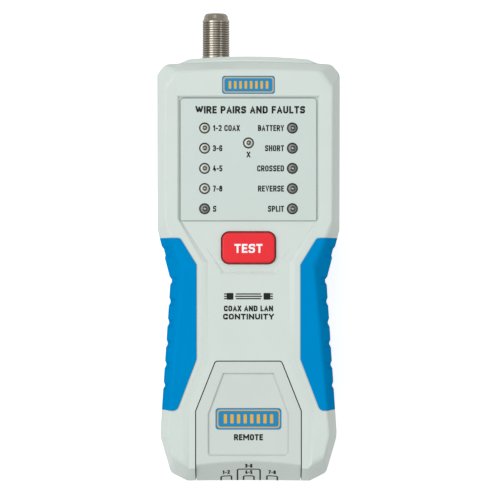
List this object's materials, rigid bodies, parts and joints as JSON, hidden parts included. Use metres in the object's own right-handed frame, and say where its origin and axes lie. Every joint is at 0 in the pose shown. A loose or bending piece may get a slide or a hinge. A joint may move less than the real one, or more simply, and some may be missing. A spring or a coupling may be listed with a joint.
{
  "type": "network cable tester",
  "caption": "Hand-held network and coaxial cable tester with indicator lamps, a test button, soft side grips and a docked slide-out remote unit.",
  "frame": {"origin": "centre of the footprint on the surface the tester lies on, under its rear face", "axes": "+Z out of the front face, +Y towards the end with the sockets, +X to the right of someone who reads the label"},
  "size_m": [0.0634, 0.1618, 0.0345],
  "materials": {
    "case_plastic": "fine moulded texture",
    "grip_rubber": "satin soft-touch",
    "label_film": "smooth film",
    "button_plastic": "semi-gloss",
    "switch_plastic": "moulded",
    "board": "solder mask",
    "chip": "moulded epoxy",
    "nickel": "bright nickel plate",
    "white_plastic": "moulded",
    "contact_metal": "gold flash",
    "socket_plastic": "moulded",
    "battery_can": "printed steel jacket",
    "red_wire": "insulation",
    "black_wire": "insulation",
    "screw_steel": "zinc plated",
    "resistor_coat": "lacquer",
    "led_resin": "clear epoxy"
  },
  "bodies": {
    "tester": {"front_case": "case_plastic", "rear_case": "case_plastic", "left_grip": "grip_rubber", "right_grip": "grip_rubber", "label_plate": "label_film", "switch_body": "switch_plastic", "main_board": "board", "controller_chip": "chip", "f_jack_body": "nickel", "f_jack_insulator": "white_plastic", "f_jack_contact": "contact_metal", "rj45_jack_housing": "socket_plastic", "rj45_jack_contacts": "contact_metal", "battery": "battery_can", "battery_snap": "socket_plastic", "red_lead": "red_wire", "black_lead": "black_wire", "case_screws": "screw_steel", "board_screws": "screw_steel", "led_pair_12": "led_resin", "led_pair_36": "led_resin", "led_pair_45": "led_resin", "led_pair_78": "led_resin", "led_shield": "led_resin", "led_cross": "led_resin", "led_battery": "led_resin", "led_short": "led_resin", "led_crossed": "led_resin", "led_reverse": "led_resin", "led_split": "led_resin"},
    "button": {"test_button": "button_plastic"},
    "plunger": {"switch_plunger": "switch_plastic"},
    "remote": {"remote_front_case": "case_plastic", "remote_rear_case": "case_plastic", "remote_jack_housing": "socket_plastic", "remote_jack_contacts": "contact_metal", "remote_f_jack_body": "nickel", "remote_f_jack_insulator": "white_plastic", "remote_f_jack_contact": "contact_metal", "remote_board": "board", "remote_resistors": "resistor_coat", "remote_screws": "screw_steel"},
    "door": {"battery_door": "case_plastic"}
  },
  "joints": [
    {"name": "button_press", "type": "slide", "parent": "tester", "child": "button", "axis": [0, 0, -1], "range_m": [0, 0.001], "stiffness_N_per_m": 1500, "springref_m": -0.0003},
    {"name": "plunger_press", "type": "slide", "parent": "tester", "child": "plunger", "axis": [0, 0, -1], "range_m": [0, 0.001]},
    {"name": "remote_slide", "type": "slide", "parent": "tester", "child": "remote", "axis": [0, -1, 0], "range_m": [0, 0.055]},
    {"name": "door_turn", "type": "hinge", "parent": "tester", "child": "door", "pos_m": [0, -0.02318, 0.00105], "axis": [-1, 0, 0], "range_deg": [0, 40]}
  ],
  "couplings": [
    {"joint": "plunger_press", "follows": "button_press", "ratio": 1}
  ]
}
